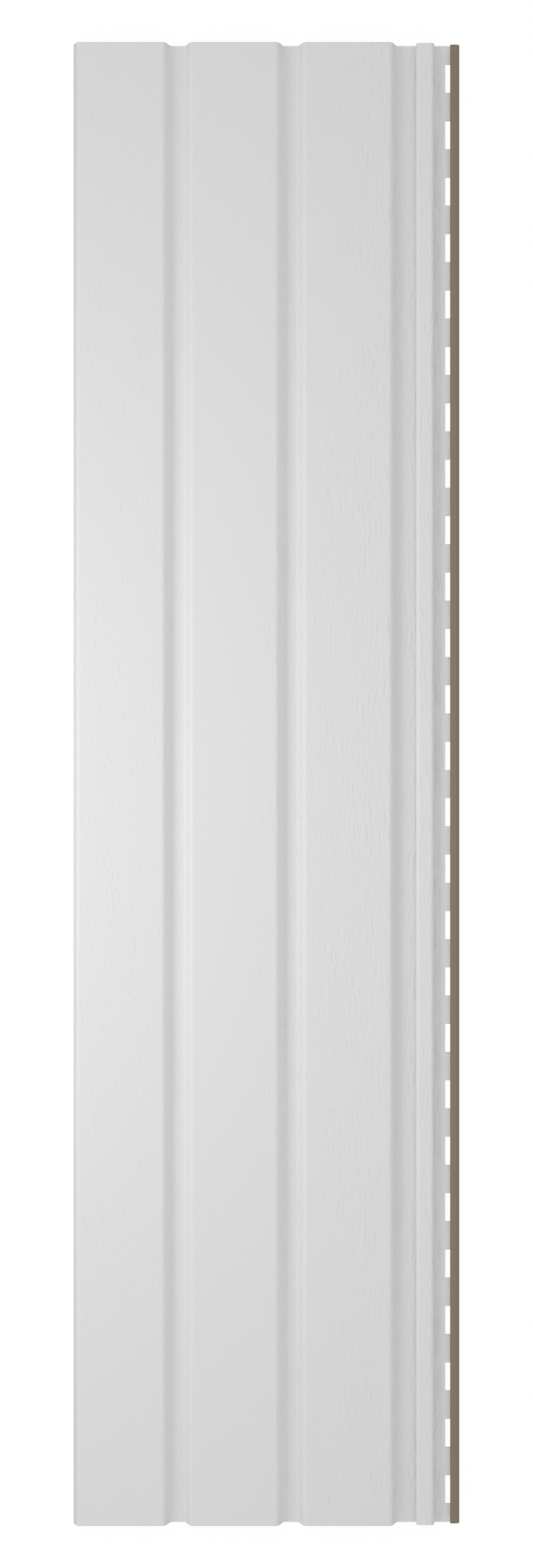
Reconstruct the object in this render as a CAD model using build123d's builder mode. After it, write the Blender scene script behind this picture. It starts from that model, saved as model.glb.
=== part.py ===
"""Triple four-inch soffit panel, extruded vinyl, millimetres.

The panel lies face up: X across its width, Y along its length, Z up.
Its origin is the centre of its footprint, at the underside of the grooves.
One sheet of even thickness is folded into the whole section: a hook at the
butt edge, three flats with grooves between them, the raised lock and the
nailing flange with its hem. The section is drawn as the middle line of that
sheet, measured from the middle of the joint with the panel before it.
"""

import os
from math import radians, sin, tan

from build123d import *

# Size and sheet
panel_length = 1328.5
flat_pitch = 101.6
flat_count = 3
sheet = 1.2

# Grooves between the flats
groove_depth = 11.1
groove_width = 18.1
wall_angle = 67.0
groove_bend = 3.5

# Butt edge, whose hook slides into the lock of the panel before it
hook_lift = 0.3
hook_bend = 1.0
hook_reach = 8.0

# Lock: a pocket for the next panel's hook, under a raised fold
pocket_room = 0.5
pocket_play = 4.5
lock_clearance = 0.1
lock_headroom = 1.2
lock_width = 16.3
lock_bend = 2.8
lock_foot_bend = 1.0

# Nailing flange and its hem
flange_width = 22.7
hem_height = 5.3
hem_foot_bend = 0.4
hem_return = 8.35
hem_slope = 4.0
fold_flat = 0.2

# Nail slots
slot_length = 25.4
slot_width = 4.76
slot_pitch = 50.8
slot_edge = 10.22
slot_end_margin = 12.0

# Middle line of the sheet at the groove floors and at the flats
half_sheet = sheet / 2
floor_level = half_sheet
flat_level = groove_depth + half_sheet


def wall_offset(level):
    """Distance from a groove's middle to the middle line of its wall at a level."""
    face_level = sheet + groove_depth / 2
    sheet_shift = half_sheet / sin(radians(wall_angle))
    return groove_width / 2 + sheet_shift + (level - face_level) / tan(radians(wall_angle))


def fold_bend(fold_height):
    """Middle-line radius of the two bends of a fold of this outside height."""
    return (fold_height - sheet - fold_flat) / 2


# Joints lie at both ends of the exposure, and the inner grooves between them
exposure = flat_count * flat_pitch
groove_middles = [number * flat_pitch for number in range(1, flat_count)]
wall_foot = wall_offset(floor_level)
wall_head = wall_offset(flat_level)
groove_arc = groove_bend + half_sheet

# Hook at the butt edge, its leg held above the next flange by the lift
hook_level = sheet + hook_lift + half_sheet
hook_arc = hook_bend + half_sheet
hook_corner = wall_offset(hook_level)
hook_turn = radians(180 - wall_angle)
hook_left = hook_corner + hook_arc * tan(hook_turn / 2) - hook_arc - half_sheet
hook_end = hook_left + hook_reach

# Pocket that takes a hook of this section
pocket_height = hook_lift + sheet + pocket_room
pocket_level = sheet + pocket_height + half_sheet
pocket_arc = fold_bend(pocket_height + 2 * sheet)
pocket_end = exposure + hook_end + pocket_play + half_sheet

# Raised lock, which stands inside the next panel's butt wall and under its flat
lock_top = groove_depth - lock_headroom
lock_level = lock_top - half_sheet
lock_tip_arc = fold_bend(lock_top - sheet - pocket_height)
tip_outside = lock_tip_arc + half_sheet
tip_spacing = (half_sheet + lock_clearance + tip_outside) / sin(radians(wall_angle))
tip_centre = wall_offset(lock_top - tip_outside) + tip_spacing
lock_left = exposure + tip_centre - tip_outside
lock_right = lock_left + lock_width
lock_arc = lock_bend + half_sheet
lock_foot_arc = lock_foot_bend + half_sheet

# Hem, a tight bend at its foot and a wide one over the top, and down towards its free edge
hem_right = lock_right + flange_width
hem_line = hem_right - half_sheet
hem_foot_arc = hem_foot_bend + half_sheet
hem_arc = hem_height - sheet - fold_flat - hem_foot_arc
hem_turn = radians(90 + hem_slope)
hem_corner_level = hem_height - half_sheet - hem_arc + hem_arc * tan(hem_turn / 2)
hem_edge = hem_right - hem_return
hem_edge_level = hem_corner_level - (hem_line - hem_edge) * tan(radians(hem_slope))

# The section's own middle, which goes to X = 0
section_middle = (hook_left + hem_right) / 2
slot_line = hem_right - slot_edge
slot_room = panel_length - 2 * slot_end_margin - slot_length
slot_count = int(slot_room // slot_pitch) + 1

section_plane = Plane(origin=(-section_middle, 0, 0), x_dir=(1, 0, 0), z_dir=(0, -1, 0))
slot_plane = Plane(origin=(slot_line - section_middle, 0, 0))


def butt_bends():
    """Corners and radii of the hook and the first shoulder."""
    corners = [(hook_corner, hook_level), (wall_head, flat_level)]
    return corners, [hook_arc, groove_arc]


def groove_bends(middle):
    """Corners and radii of one whole groove between two flats."""
    corners = [
        (middle - wall_head, flat_level),
        (middle - wall_foot, floor_level),
        (middle + wall_foot, floor_level),
        (middle + wall_head, flat_level),
    ]
    return corners, [groove_arc] * len(corners)


def lock_bends():
    """Corners and radii from the last shoulder, through pocket and lock, to the flange."""
    corners = [
        (exposure - wall_head, flat_level),
        (exposure - wall_foot, floor_level),
        (pocket_end, floor_level),
        (pocket_end, pocket_level),
        (lock_left + half_sheet, pocket_level),
        (lock_left + half_sheet, lock_level),
        (lock_right - half_sheet, lock_level),
        (lock_right - half_sheet, floor_level),
    ]
    radii = [
        groove_arc,
        groove_arc,
        pocket_arc,
        pocket_arc,
        lock_tip_arc,
        lock_tip_arc,
        lock_arc,
        lock_foot_arc,
    ]
    return corners, radii


def hem_bends():
    """Corners and radii of the hem's fold."""
    corners = [(hem_line, floor_level), (hem_line, hem_corner_level)]
    return corners, [hem_foot_arc, hem_arc]


def section_path():
    """Corners and bend radii of the sheet's middle line, from hook to hem."""
    corners = [(hook_end, hook_level)]
    radii = []
    groups = [butt_bends(), *map(groove_bends, groove_middles), lock_bends(), hem_bends()]
    for group_corners, group_radii in groups:
        corners += group_corners
        radii += group_radii
    corners.append((hem_edge, hem_edge_level))
    return corners, radii


path_corners, path_radii = section_path()

with BuildPart() as soffit_panel:
    with BuildSketch(section_plane):
        with BuildLine() as sheet_line:
            FilletPolyline(*path_corners, radius=path_radii)
        trace(sheet_line.edges(), line_width=sheet)
    extrude(amount=panel_length / 2, both=True)

    # Slots pass through the flange and stop short of the hem's return above it
    with BuildSketch(slot_plane):
        with GridLocations(0, slot_pitch, 1, slot_count):
            Rectangle(slot_width, slot_length)
    extrude(amount=sheet, mode=Mode.SUBTRACT)

soffit_panel.part.label = "soffit_panel"

os.makedirs("parts", exist_ok=True)
export_step(soffit_panel.part, "parts/soffit_panel.step")
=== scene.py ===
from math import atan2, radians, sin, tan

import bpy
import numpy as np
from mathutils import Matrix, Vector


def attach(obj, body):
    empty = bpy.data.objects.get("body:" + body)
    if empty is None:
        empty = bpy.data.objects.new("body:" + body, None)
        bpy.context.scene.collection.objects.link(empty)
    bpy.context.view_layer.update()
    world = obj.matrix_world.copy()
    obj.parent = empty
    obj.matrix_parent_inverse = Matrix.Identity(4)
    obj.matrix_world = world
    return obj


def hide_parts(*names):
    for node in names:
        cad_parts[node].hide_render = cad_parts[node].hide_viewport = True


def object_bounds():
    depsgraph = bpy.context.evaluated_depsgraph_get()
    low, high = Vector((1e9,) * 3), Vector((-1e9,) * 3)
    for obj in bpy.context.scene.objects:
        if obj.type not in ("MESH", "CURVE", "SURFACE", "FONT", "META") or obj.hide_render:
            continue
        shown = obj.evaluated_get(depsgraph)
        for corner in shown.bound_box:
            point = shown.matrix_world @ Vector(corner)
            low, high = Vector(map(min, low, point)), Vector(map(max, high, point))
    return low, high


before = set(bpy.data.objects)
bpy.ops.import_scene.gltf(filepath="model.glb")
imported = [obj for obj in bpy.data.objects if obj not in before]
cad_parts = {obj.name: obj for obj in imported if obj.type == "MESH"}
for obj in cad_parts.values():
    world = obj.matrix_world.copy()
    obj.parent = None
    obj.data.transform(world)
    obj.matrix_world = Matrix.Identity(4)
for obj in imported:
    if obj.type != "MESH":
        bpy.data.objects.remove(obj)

# Soffit panel: one folded vinyl sheet with an embossed wood grain on its face, in metres.
# The sheet is drawn as its middle line, carried along the panel and given its two sides, so that
# grain and the two colours follow it round every fold, as they do on the real extrusion.

cad_low, cad_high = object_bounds()

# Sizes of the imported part
MM = 0.001
PANEL_LENGTH = 1328.5 * MM
FLAT_PITCH = 101.6 * MM
FLAT_COUNT = 3
SHEET = 1.2 * MM
HALF_SHEET = SHEET / 2
GROOVE_DEPTH = 11.1 * MM
GROOVE_WIDTH = 18.1 * MM
WALL_ANGLE = radians(67)
GROOVE_ARC = 3.5 * MM + HALF_SHEET
HOOK_LIFT = 0.3 * MM
HOOK_ARC = 1.0 * MM + HALF_SHEET
HOOK_REACH = 8.0 * MM
POCKET_ROOM = 0.5 * MM
POCKET_PLAY = 4.5 * MM
LOCK_CLEARANCE = 0.1 * MM
LOCK_HEADROOM = 1.2 * MM
LOCK_WIDTH = 16.3 * MM
LOCK_ARC = 2.8 * MM + HALF_SHEET
LOCK_FOOT_ARC = 1.0 * MM + HALF_SHEET
FLANGE_WIDTH = 22.7 * MM
HEM_HEIGHT = 5.3 * MM
HEM_FOOT_ARC = 0.4 * MM + HALF_SHEET
HEM_RETURN = 8.35 * MM
HEM_SLOPE = radians(4)
FOLD_FLAT = 0.2 * MM
SLOT_LENGTH = 25.4 * MM
SLOT_WIDTH = 4.76 * MM
SLOT_PITCH = 50.8 * MM
SLOT_EDGE = 10.22 * MM
SLOT_COUNT = 26

# How finely the sheet is drawn, and how far its cut edges are eased
BEND_STEP = radians(7.5)
HOLDING_EDGE = 0.4 * MM
HOLDING_GAP = 3 * HOLDING_EDGE
CUT_EASE = 0.10 * MM
EASE_STEPS = 2
CUT_ANGLE = radians(60)

# Share of the sheet's thickness that has the face colour, which shows on cut edges
FACE_SHARE = 0.25

# Shares of the baked map: face side, back side and cut edges across it, and its margin
FACE_MAP = (0.004, 0.756)
BACK_MAP = (0.764, 0.956)
EDGE_MAP = (0.964, 0.996)
MAP_MARGIN = 0.004

# Colours, as linear red, green and blue, and the shades of them that a pattern mixes
FACE_GREY = (0.868, 0.868, 0.868)
BACK_BROWN = (0.274, 0.217, 0.155)
WHITE = (1.0, 1.0, 1.0)
TONE_SHADES = (0.996, 1.004)
# Painted shade: how much darker the grain's hollows are made, in place of the shadow the bump does
# not cast
HOLLOW_PAINTED_SHADE = 0.965
STREAK_SHADES = (0.95, 1.05)

# Gloss: the roughness of each side, and what the patterns add to it
FACE_ROUGHNESS = 0.58
PRESSED_ROUGHNESS = 0.10
TONE_ROUGHNESS = 0.04
FACE_IOR = 1.52
BACK_ROUGHNESS = 0.62
STREAK_ROUGHNESS = 0.10
BACK_IOR = 1.40

# Strength of the wood grain, by run across the sheet
GRAIN_STRENGTH = (
    (0.000, 0.28),
    (0.090, 0.24),
    (0.112, 0.50),
    (0.134, 0.02),
    (0.178, 0.06),
    (0.205, 0.40),
    (0.232, 0.50),
    (0.250, 0.34),
    (0.320, 0.50),
    (0.352, 0.52),
    (0.376, 0.48),
    (0.390, 0.50),
    (0.399, 1.00),
    (0.404, 1.00),
    (0.407, 0.25),
    (0.431, 0.25),
)

# Patterns: how many waves each has in a metre, across the sheet and along it
WANDER_ACROSS, WANDER_ALONG = 11, 5
RIPPLE_ACROSS, RIPPLE_ALONG = 90, 95
CLUSTERS_ACROSS, CLUSTERS_ALONG = 55, 17
TICKS_ACROSS, TICKS_ALONG = 340, 120
WAVES_ACROSS, WAVES_ALONG = 390, 56
FIBRE_ACROSS, FIBRE_ALONG = 1900, 34
DIE_LINES_ACROSS, DIE_LINES_ALONG = 1500, 0.8
TONE_ACROSS, TONE_ALONG = 9, 3
STREAKS_ACROSS, STREAKS_ALONG = 420, 2.5

# Shifts that keep one pattern of the grain from starting where another does
RIPPLE_SHIFT = 9.0
CLUSTERS_SHIFT = 3.0
WAVES_SHIFT = 7.0

# Detail of a noise, which is how many finer layers lie on its plain one, and its middle
PLAIN = 0.0
FINE = 1.0
FINER = 2.0
NOISE_MIDDLE = 0.5

# How far the grain's lines stray
WANDER_SIZE = 18 * MM
RIPPLE_SIZE = 2.2 * MM

# Where in its noise a tick begins, what strength and clusters take off that, and its height
TICK_EDGE = 0.25
TICK_EDGE_BY_STRENGTH = 0.06
TICK_EDGE_BY_CLUSTERS = 0.36
TICK_SLOPE = 6.0
TICK_LEAST = 0.35
TICK_BY_STRENGTH = 2.6
TICK_HEIGHT = 1.1

# The same for a wave, which comes in from a certain strength on
WAVE_EDGE = 0.20
WAVE_EDGE_BY_STRENGTH = 0.20
WAVE_EDGE_BY_CLUSTERS = 0.30
WAVE_SLOPE = 4.5
WAVE_START = 0.25
WAVE_ONSET = 5.0
WAVE_LEAST = 0.55
WAVE_BY_STRENGTH = 1.05

# Height of the fine texture, how strongly shade is painted into the grain's hollows, and the depth
# that a height of one has
FIBRE_HEIGHT = 0.04
HOLLOW_SHADE_SHARE = 0.8
EMBOSS_DEPTH = 0.14 * MM
DIE_LINE_DEPTH = 0.015 * MM

# Sockets of a colour mix, which have the same names as those of its other kinds
MIX_LOW = 6
MIX_HIGH = 7

# Camera and light
PHOTO_SIZE = (875, 2576)
LENS = 50.0
SENSOR = 36.0
PIXEL_AT_FACE = 0.5448 * MM
ROOM_LEVEL = 0.65
LAMP_PLACE = (-0.665, 0.0, 0.641)
LAMP_SIZE = 0.40
LAMP_POWER = 2.27
FLOOR_SIZE = 8.0
FLOOR_DROP = 0.2 * MM
FLOOR_GREY = 0.30
FLOOR_GLOW = 0.95
FLOOR_SHADE = 0.07


def wall_offset(level):
    """Distance from a groove's middle to the middle line of its wall: half the width, plus the
    sheet's slanted half thickness, plus rise over the tangent of the wall's angle."""
    rise = level - (SHEET + GROOVE_DEPTH / 2)
    return GROOVE_WIDTH / 2 + HALF_SHEET / sin(WALL_ANGLE) + rise / tan(WALL_ANGLE)


def fold_arc(height):
    """Radius of the two bends of a fold of this outside height."""
    return (height - SHEET - FOLD_FLAT) / 2


def sheet_corners():
    """Corners of the sheet's middle line from hook to hem, and the radius at each inner one,
    worked out from the part's own sizes. Zero is the middle of the panel's width."""
    floor = HALF_SHEET
    flat = GROOVE_DEPTH + HALF_SHEET
    foot = wall_offset(floor)
    head = wall_offset(flat)
    exposure = FLAT_COUNT * FLAT_PITCH

    hook = SHEET + HOOK_LIFT + HALF_SHEET
    hook_corner = wall_offset(hook)
    hook_bend = HOOK_ARC * tan((radians(180) - WALL_ANGLE) / 2)
    hook_left = hook_corner + hook_bend - HOOK_ARC - HALF_SHEET
    hook_end = hook_left + HOOK_REACH

    pocket_height = HOOK_LIFT + SHEET + POCKET_ROOM
    pocket = SHEET + pocket_height + HALF_SHEET
    pocket_arc = fold_arc(pocket_height + 2 * SHEET)
    pocket_end = exposure + hook_end + POCKET_PLAY + HALF_SHEET

    lock_top = GROOVE_DEPTH - LOCK_HEADROOM
    lock = lock_top - HALF_SHEET
    tip_arc = fold_arc(lock_top - SHEET - pocket_height)
    tip = tip_arc + HALF_SHEET
    tip_room = (HALF_SHEET + LOCK_CLEARANCE + tip) / sin(WALL_ANGLE)
    lock_left = exposure + wall_offset(lock_top - tip) + tip_room - tip
    lock_right = lock_left + LOCK_WIDTH

    hem_right = lock_right + FLANGE_WIDTH
    hem = hem_right - HALF_SHEET
    hem_arc = HEM_HEIGHT - SHEET - FOLD_FLAT - HEM_FOOT_ARC
    hem_bend = hem_arc * tan((radians(90) + HEM_SLOPE) / 2)
    hem_top = HEM_HEIGHT - HALF_SHEET - hem_arc + hem_bend
    hem_edge = hem_right - HEM_RETURN
    hem_edge_level = hem_top - (hem - hem_edge) * tan(HEM_SLOPE)

    corners = [(hook_end, hook), (hook_corner, hook), (head, flat)]
    radii = [HOOK_ARC, GROOVE_ARC]
    for number in range(1, FLAT_COUNT):
        middle = number * FLAT_PITCH
        corners += [(middle - head, flat), (middle - foot, floor)]
        corners += [(middle + foot, floor), (middle + head, flat)]
        radii += [GROOVE_ARC, GROOVE_ARC, GROOVE_ARC, GROOVE_ARC]
    corners += [(exposure - head, flat), (exposure - foot, floor)]
    corners += [(pocket_end, floor), (pocket_end, pocket)]
    corners += [(lock_left + HALF_SHEET, pocket), (lock_left + HALF_SHEET, lock)]
    corners += [(lock_right - HALF_SHEET, lock), (lock_right - HALF_SHEET, floor)]
    corners += [(hem, floor), (hem, hem_top), (hem_edge, hem_edge_level)]
    radii += [GROOVE_ARC, GROOVE_ARC, pocket_arc, pocket_arc, tip_arc, tip_arc]
    radii += [LOCK_ARC, LOCK_FOOT_ARC, HEM_FOOT_ARC, hem_arc]
    middle = (hook_left + hem_right) / 2
    return np.array(corners) - (middle, 0), radii


def bent_line(corners, radii):
    """Points, headings and run of a line bent at its corners.

    A bend of radius r and turn t starts r * tan(t / 2) before its corner. Its centre is r to the
    side that it turns to, and its points are the centre, less r times that side's direction, in
    even steps of heading."""
    legs = np.diff(corners, axis=0)
    heading = np.unwrap(np.arctan2(legs[:, 1], legs[:, 0]))
    points = [corners[:1]]
    headings = [heading[:1]]
    for corner, radius, before, after in zip(corners[1:-1], radii, heading[:-1], heading[1:]):
        turn = after - before
        way = np.sign(turn)
        ahead = np.array([np.cos(before), np.sin(before)])
        aside = np.array([-np.sin(before), np.cos(before)])
        centre = corner - radius * tan(abs(turn) / 2) * ahead + radius * way * aside
        steps = int(np.ceil(abs(turn) / BEND_STEP))
        angles = np.linspace(before, after, steps + 1)
        outwards = np.stack([np.sin(angles), -np.cos(angles)], axis=1)
        points.append(centre + radius * way * outwards)
        headings.append(angles)
    points.append(corners[-1:])
    headings.append(heading[-1:])
    points = np.concatenate(points)
    headings = np.concatenate(headings)
    run = np.concatenate([[0.0], np.cumsum(np.hypot(*np.diff(points, axis=0).T))])
    return points, headings, run


def hold(places):
    """Adds a holding place near both ends of every wide gap between places."""
    wide = np.diff(places) > HOLDING_GAP
    after = places[:-1][wide] + HOLDING_EDGE
    before = places[1:][wide] - HOLDING_EDGE
    return np.unique(np.concatenate([places, after, before]))


def slot_run(points, run):
    """The slots' two sides, as places of the run. They lie at a set distance from the panel's
    right edge, and on the level flange the run grows as x does, from the bend before it."""
    middle = points[:, 0].max() + HALF_SHEET - SLOT_EDGE
    sides = middle + np.array([-SLOT_WIDTH / 2, SLOT_WIDTH / 2])
    on_floor = np.isclose(points[:, 1], HALF_SHEET)
    last = np.flatnonzero(on_floor & (points[:, 0] < sides[0]))[-1]
    return run[last] + sides - points[last, 0]


def skin(line, rows):
    """Points of a line across the panel, repeated at every row along it."""
    places = np.empty((len(rows), len(line), 3))
    places[..., 0] = line[:, 0]
    places[..., 1] = rows[:, None]
    places[..., 2] = line[:, 1]
    return places.reshape(-1, 3)


def cell_faces(solid, face, back):
    """Corners and kind of every quad: each solid cell's face and back, and a wall on every edge
    between a solid cell and none. Face and back number the points of the two sides, and a corner
    is one of them with its steps from the cell's own point, in rows and in columns."""
    here = np.pad(solid, 1)
    left, right = here[1:-1, :-1], here[1:-1, 1:]
    below, above = here[:-1, 1:-1], here[1:, 1:-1]
    corners = []
    kinds = []

    def add(kind, cells, *quad):
        row, column = np.nonzero(cells)
        points = [side[row + up, column + across] for side, up, across in quad]
        corners.append(np.stack(points, axis=1))
        kinds.append(np.full(len(row), kind))

    add("face", solid, (face, 0, 0), (face, 0, 1), (face, 1, 1), (face, 1, 0))
    add("back", solid, (back, 0, 0), (back, 1, 0), (back, 1, 1), (back, 0, 1))
    add("edge", ~left & right, (face, 0, 0), (face, 1, 0), (back, 1, 0), (back, 0, 0))
    add("edge", left & ~right, (back, 0, 0), (back, 1, 0), (face, 1, 0), (face, 0, 0))
    add("end", ~below & above, (back, 0, 0), (back, 0, 1), (face, 0, 1), (face, 0, 0))
    add("end", below & ~above, (face, 0, 0), (face, 0, 1), (back, 0, 1), (back, 0, 0))
    return np.concatenate(corners), np.concatenate(kinds)


def panel_surface():
    """The panel as one closed skin. Across it, the middle line of the sheet, moved half a sheet to
    its face and half a sheet to its back. Along it, straight rows between the cut ends. A cell of
    that grid is left out where a slot is."""
    points, headings, run = bent_line(*sheet_corners())
    slot_sides = slot_run(points, run)
    columns = hold(np.unique(np.concatenate([run, slot_sides])))
    line = np.stack([np.interp(columns, run, part) for part in points.T], axis=1)
    heading = np.interp(columns, run, headings)
    side = np.stack([-np.sin(heading), np.cos(heading)], axis=1) * HALF_SHEET

    slot_places = (np.arange(SLOT_COUNT) - (SLOT_COUNT - 1) / 2) * SLOT_PITCH
    slot_ends = slot_places[:, None] + np.array([-SLOT_LENGTH / 2, SLOT_LENGTH / 2])
    rows = hold(np.concatenate([[-PANEL_LENGTH / 2], slot_ends.ravel(), [PANEL_LENGTH / 2]]))
    places = np.concatenate([skin(line + side, rows), skin(line - side, rows)])

    row_middles = (rows[:-1] + rows[1:]) / 2
    in_slot_row = np.abs(row_middles[:, None] - slot_places).min(axis=1) < SLOT_LENGTH / 2
    column_middles = (columns[:-1] + columns[1:]) / 2
    in_slot_column = (column_middles > slot_sides[0]) & (column_middles < slot_sides[1])
    solid = ~(in_slot_row[:, None] & in_slot_column)

    face = np.arange(len(rows) * len(columns)).reshape(len(rows), len(columns))
    corners, kinds = cell_faces(solid, face, face + face.size)
    plan = np.stack(np.broadcast_arrays(columns, rows[:, None]), axis=-1).reshape(-1, 2)
    plan = np.concatenate([plan, plan])
    on_face = np.arange(len(places)) < face.size
    return places, corners, kinds, plan, on_face


def baked_map(corners, kinds, plan, on_face):
    """Places on the baked map: the sheet laid flat, its face and its back side by side, and the cut
    edges in a strip beside them, one share of the strip for each side of the cut."""
    run, along = plan.T
    u = (run / run.max())[corners]
    inner = 1 - 2 * MAP_MARGIN
    v = (MAP_MARGIN + inner * (along - along.min()) / (along.max() - along.min()))[corners]
    result = np.empty(corners.shape + (2,))
    for kind, (low, high) in (("face", FACE_MAP), ("back", BACK_MAP)):
        chosen = kinds == kind
        result[chosen, :, 0] = low + (high - low) * u[chosen]
        result[chosen, :, 1] = v[chosen]
    third = (EDGE_MAP[1] - EDGE_MAP[0]) / 3
    across = on_face[corners] * third
    chosen = kinds == "edge"
    result[chosen, :, 0] = EDGE_MAP[0] + across[chosen]
    result[chosen, :, 1] = v[chosen]
    chosen = kinds == "end"
    result[chosen, :, 0] = EDGE_MAP[0] + 2 * third + across[chosen]
    result[chosen, :, 1] = u[chosen]
    return result


def make_panel():
    """The panel's mesh, with its plan for the grain, its map for baking and its two sides."""
    places, corners, kinds, plan, on_face = panel_surface()
    mesh = bpy.data.meshes.new("panel_sheet")
    mesh.from_pydata(places, [], corners)
    maps = {"sheet_plan": plan[corners], "OFBake": baked_map(corners, kinds, plan, on_face)}
    for name, spots in maps.items():
        layer = mesh.uv_layers.new(name=name)
        layer.uv.foreach_set("vector", spots.astype(np.float32).ravel())
    sides = mesh.attributes.new("face_side", "FLOAT", "POINT")
    sides.data.foreach_set("value", on_face.astype(np.float32))
    mesh.shade_smooth()
    mesh.validate()
    panel = bpy.data.objects.new("panel_sheet", mesh)
    bpy.context.scene.collection.objects.link(panel)
    ease = panel.modifiers.new("eased_cuts", "BEVEL")
    ease.width = CUT_EASE
    ease.segments = EASE_STEPS
    ease.limit_method = "ANGLE"
    ease.angle_limit = CUT_ANGLE
    return panel


class Wire:
    """One shader socket. Arithmetic on it adds Math nodes, so a pattern reads as its formula."""

    def __init__(self, finish, socket):
        self.finish = finish
        self.socket = socket

    def math(self, operation, *values):
        node = self.finish.add("ShaderNodeMath", {"operation": operation}, dict(enumerate(values)))
        return node["Value"]

    def __add__(self, other):
        return self.math("ADD", self, other)

    __radd__ = __add__

    def __sub__(self, other):
        return self.math("SUBTRACT", self, other)

    def __rsub__(self, other):
        return self.math("SUBTRACT", other, self)

    def __mul__(self, other):
        return self.math("MULTIPLY", self, other)

    __rmul__ = __mul__

    def __truediv__(self, other):
        return self.math("DIVIDE", self, other)

    def __gt__(self, other):
        return self.math("GREATER_THAN", self, other)

    def clamp(self):
        return self.finish.add("ShaderNodeClamp", {}, {"Value": self})["Result"]


class Finish:
    """The nodes of one material, or of the room, built up one by one."""

    def __init__(self, owner):
        owner.use_nodes = True
        self.owner = owner
        self.tree = owner.node_tree
        self.tree.nodes.clear()

    def add(self, kind, settings=None, inputs=None):
        """Adds one node, its settings first, then the values or wires of its sockets, and gives
        its outputs by name. A ramp's stops are one of its settings."""
        node = self.tree.nodes.new(kind)
        for name, value in (settings or {}).items():
            if name == "stops":
                set_stops(node.color_ramp, value)
            else:
                setattr(node, name, value)
        for name, value in (inputs or {}).items():
            socket = node.inputs[name]
            if isinstance(value, Wire):
                self.tree.links.new(value.socket, socket)
            else:
                socket.default_value = value
        return {output.name: Wire(self, output) for output in node.outputs if output.enabled}

    def noise(self, x, y, detail):
        """Even noise over a plane, from nought to one."""
        plane = self.add("ShaderNodeCombineXYZ", {}, {"X": x, "Y": y})["Vector"]
        inputs = {"Vector": plane, "Scale": 1.0, "Detail": detail}
        return self.add("ShaderNodeTexNoise", {"noise_dimensions": "2D"}, inputs)["Fac"]

    def swing(self, x, y, detail):
        """Even noise over a plane, to both sides of nought."""
        return self.noise(x, y, detail) - NOISE_MIDDLE

    def steps(self, place, stops):
        """A value that goes in straight runs from stop to stop, each a place and its value."""
        low = stops[0][0]
        span = stops[-1][0] - low
        shares = [((at - low) / span, value) for at, value in stops]
        share = (place - low) / span
        return self.add("ShaderNodeValToRGB", {"stops": shares}, {"Fac": share})["Color"]

    def bump(self, height, depth):
        """A normal for a surface that rises by depth where height is one."""
        inputs = {"Strength": 1.0, "Distance": depth, "Height": height}
        return self.add("ShaderNodeBump", {}, inputs)["Normal"]

    def mix(self, share, low, high):
        """A colour part of the way from low to high."""
        inputs = {"Factor": share, MIX_LOW: low, MIX_HIGH: high}
        return self.add("ShaderNodeMix", {"data_type": "RGBA"}, inputs)["Result"]

    def plastic(self, shade, roughness, normal, ior):
        inputs = {"Base Color": shade, "Roughness": roughness, "Normal": normal, "IOR": ior}
        return self.add("ShaderNodeBsdfPrincipled", {}, inputs)["BSDF"]

    def matt(self, grey):
        inputs = {"Color": colour((grey, grey, grey))}
        return self.add("ShaderNodeBsdfDiffuse", {}, inputs)["BSDF"]

    def sky(self, level):
        inputs = {"Color": colour(WHITE), "Strength": level}
        return self.add("ShaderNodeBackground", {}, inputs)["Background"]

    def either(self, share, first, second):
        """The first shader where share is nought, and the second where it is one."""
        return self.add("ShaderNodeMixShader", {}, {0: share, 1: first, 2: second})["Shader"]

    def seen(self):
        """One for the rays that show a thing: straight to the camera, mirrored or let through."""
        path = self.add("ShaderNodeLightPath")
        rays = path["Is Camera Ray"] + path["Is Glossy Ray"] + path["Is Transmission Ray"]
        return rays.clamp()


def set_stops(ramp, stops):
    """Gives a new ramp its stops, each a place from nought to one and the grey there."""
    ramp.elements.remove(ramp.elements[0])
    ramp.elements[0].position = stops[0][0]
    for place, _ in stops[1:]:
        ramp.elements.new(place)
    for element, (_, value) in zip(ramp.elements, stops):
        element.color = (value, value, value, 1.0)


def colour(rgb, shade=1.0):
    return tuple(shade * part for part in rgb) + (1.0,)


def ridges(field, edge, slope):
    """A ridge where a field is above edge and a hollow where it is below minus edge, each at this
    slope and no more than one high."""
    return ((field - edge) * slope).clamp() - ((-1.0 * field - edge) * slope).clamp()


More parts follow.
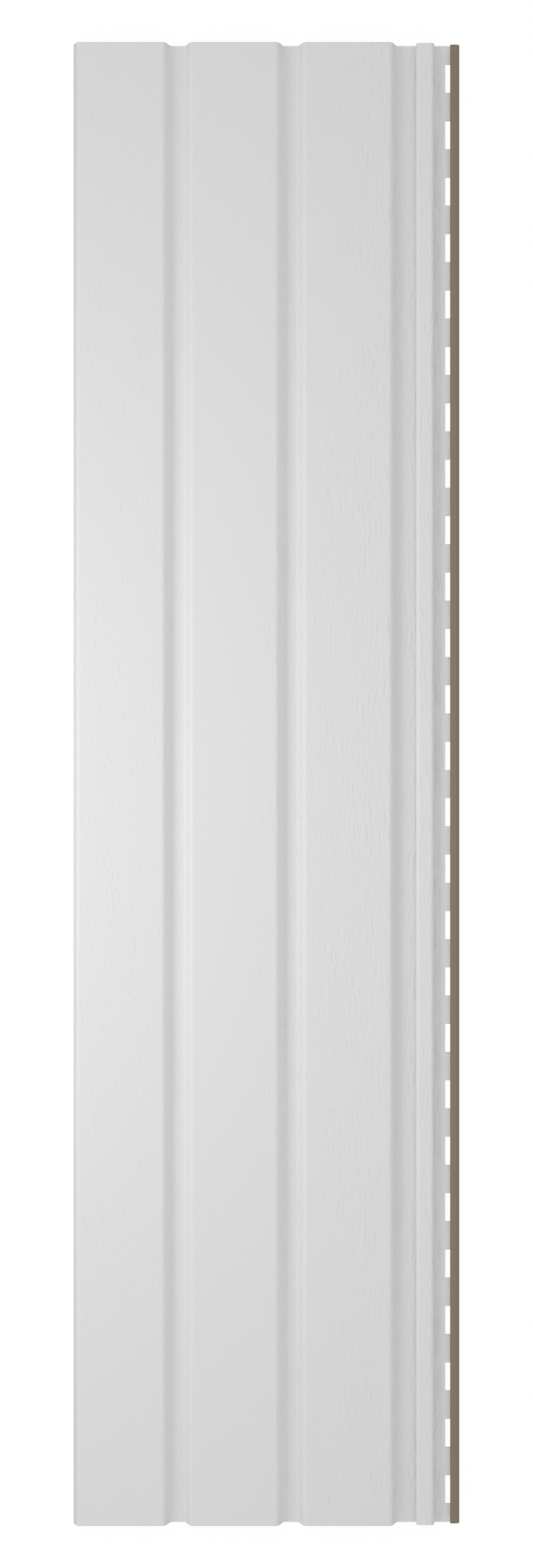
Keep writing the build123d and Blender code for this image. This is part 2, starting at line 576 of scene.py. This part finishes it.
def grain(finish, run, length, strength):
    """Relief of the wood grain, in shares of its depth: short ticks all over the face, long waves
    where it is strong, and a fine drawn texture under them. Ticks and waves stand where their
    noise is furthest from its middle, come in clusters, and wander as they go along the panel."""
    wander = finish.swing(run * WANDER_ACROSS, length * WANDER_ALONG, FINE) * WANDER_SIZE
    ripple_run = run * RIPPLE_ACROSS + RIPPLE_SHIFT
    ripple = finish.swing(ripple_run, length * RIPPLE_ALONG, PLAIN) * RIPPLE_SIZE
    grain_run = run + wander + ripple
    cluster_run = grain_run * CLUSTERS_ACROSS + CLUSTERS_SHIFT
    clusters = finish.swing(cluster_run, length * CLUSTERS_ALONG, FINE)

    ticks = finish.swing(grain_run * TICKS_ACROSS, length * TICKS_ALONG, PLAIN)
    tick_edge = TICK_EDGE - strength * TICK_EDGE_BY_STRENGTH - clusters * TICK_EDGE_BY_CLUSTERS
    tick_share = (TICK_LEAST + strength * TICK_BY_STRENGTH).clamp() * TICK_HEIGHT

    wave_length = length * WAVES_ALONG + WAVES_SHIFT
    waves = finish.swing(grain_run * WAVES_ACROSS, wave_length, PLAIN)
    wave_edge = WAVE_EDGE - strength * WAVE_EDGE_BY_STRENGTH - clusters * WAVE_EDGE_BY_CLUSTERS
    onset = ((strength - WAVE_START) * WAVE_ONSET).clamp()
    wave_share = onset * (WAVE_LEAST + strength * WAVE_BY_STRENGTH)

    relief = ridges(ticks, tick_edge, TICK_SLOPE) * tick_share
    relief = relief + ridges(waves, wave_edge, WAVE_SLOPE) * wave_share
    fibre = finish.noise(run * FIBRE_ACROSS, length * FIBRE_ALONG, FINE)
    return relief + fibre * FIBRE_HEIGHT


def vinyl():
    """Two-colour vinyl: a satin grey face embossed with wood grain, and a plain brown back.

    Every pattern is laid on the flat sheet, run across it and length along it, in metres."""
    finish = Finish(bpy.data.materials.new("embossed_vinyl"))
    plan = finish.add("ShaderNodeUVMap", {"uv_map": "sheet_plan"})["UV"]
    parts = finish.add("ShaderNodeSeparateXYZ", {}, {"Vector": plan})
    run = parts["X"]
    length = parts["Y"]

    strength = finish.steps(run, GRAIN_STRENGTH)
    relief = grain(finish, run, length, strength)
    # Painted shade: the grain's hollows are made darker, standing in for the shadow the bump does
    # not cast, and a little rougher
    painted_hollow_shade = (relief * -HOLLOW_SHADE_SHARE * strength * strength).clamp()
    tone = finish.noise(run * TONE_ACROSS, length * TONE_ALONG, FINER)
    grey = finish.mix(tone, *[colour(FACE_GREY, shade) for shade in TONE_SHADES])
    grey = finish.mix(painted_hollow_shade, grey, colour(FACE_GREY, HOLLOW_PAINTED_SHADE))
    roughness = FACE_ROUGHNESS + painted_hollow_shade * PRESSED_ROUGHNESS + tone * TONE_ROUGHNESS
    face = finish.plastic(grey, roughness, finish.bump(relief, EMBOSS_DEPTH), FACE_IOR)

    streaks = finish.noise(run * STREAKS_ACROSS, length * STREAKS_ALONG, FINER)
    brown = finish.mix(streaks, *[colour(BACK_BROWN, shade) for shade in STREAK_SHADES])
    roughness = BACK_ROUGHNESS + streaks * STREAK_ROUGHNESS
    die_lines = finish.noise(run * DIE_LINES_ACROSS, length * DIE_LINES_ALONG, FINER)
    back = finish.plastic(brown, roughness, finish.bump(die_lines, DIE_LINE_DEPTH), BACK_IOR)

    side = finish.add("ShaderNodeAttribute", {"attribute_name": "face_side"})["Fac"]
    sheet = finish.either(side > 1 - FACE_SHARE, back, face)
    finish.add("ShaderNodeOutputMaterial", {}, {"Surface": sheet})
    return finish.owner


def white_floor():
    """Pale floor that shows white, and keeps a faint shadow of what lies on it."""
    finish = Finish(bpy.data.materials.new("white_floor"))
    inputs = {"Color": colour(WHITE), "Strength": FLOOR_GLOW}
    glow = finish.add("ShaderNodeEmission", {}, inputs)["Emission"]
    shown = finish.add("ShaderNodeAddShader", {}, {0: glow, 1: finish.matt(FLOOR_SHADE)})["Shader"]
    floor = finish.either(finish.seen(), finish.matt(FLOOR_GREY), shown)
    finish.add("ShaderNodeOutputMaterial", {}, {"Surface": floor})
    return finish.owner


def make_floor():
    """A flat square just under the panel."""
    half = FLOOR_SIZE / 2
    corners = [(-half, -half), (half, -half), (half, half), (-half, half)]
    mesh = bpy.data.meshes.new("floor")
    mesh.from_pydata([(x, y, -FLOOR_DROP) for x, y in corners], [], [(0, 1, 2, 3)])
    floor = bpy.data.objects.new("floor", mesh)
    bpy.context.scene.collection.objects.link(floor)
    mesh.materials.append(white_floor())


def light_room():
    """Even light from all round, and one soft lamp over the butt edge's side. The room itself
    shows plain white."""
    room = Finish(bpy.data.worlds.new("room"))
    bpy.context.scene.world = room.owner
    shown = room.either(room.seen(), room.sky(ROOM_LEVEL), room.sky(1.0))
    room.add("ShaderNodeOutputWorld", {}, {"Surface": shown})

    lamp = bpy.data.lights.new("soft_lamp", "AREA")
    lamp.shape = "SQUARE"
    lamp.size = LAMP_SIZE
    lamp.energy = LAMP_POWER
    holder = bpy.data.objects.new("soft_lamp", lamp)
    holder.location = LAMP_PLACE
    holder.rotation_euler = (0, atan2(LAMP_PLACE[0], LAMP_PLACE[2]), 0)
    holder.visible_camera = False
    bpy.context.scene.collection.objects.link(holder)


def set_camera():
    """A camera straight over the middle, whose picture has the photograph's scale at the face."""
    camera = bpy.data.cameras.new("camera")
    camera.lens = LENS
    camera.sensor_fit = "AUTO"
    camera.sensor_width = SENSOR
    holder = bpy.data.objects.new("camera", camera)
    distance = PHOTO_SIZE[1] * PIXEL_AT_FACE * LENS / SENSOR
    holder.location = (0, 0, cad_high[2] + distance)
    bpy.context.scene.collection.objects.link(holder)
    bpy.context.scene.camera = holder


scene = bpy.context.scene
scene.view_settings.view_transform = "Standard"
set_camera()
light_room()
make_floor()

panel_sheet = make_panel()
panel_sheet.data.materials.append(vinyl())
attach(panel_sheet, "root")
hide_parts("soffit_panel")

bpy.context.view_layer.update()
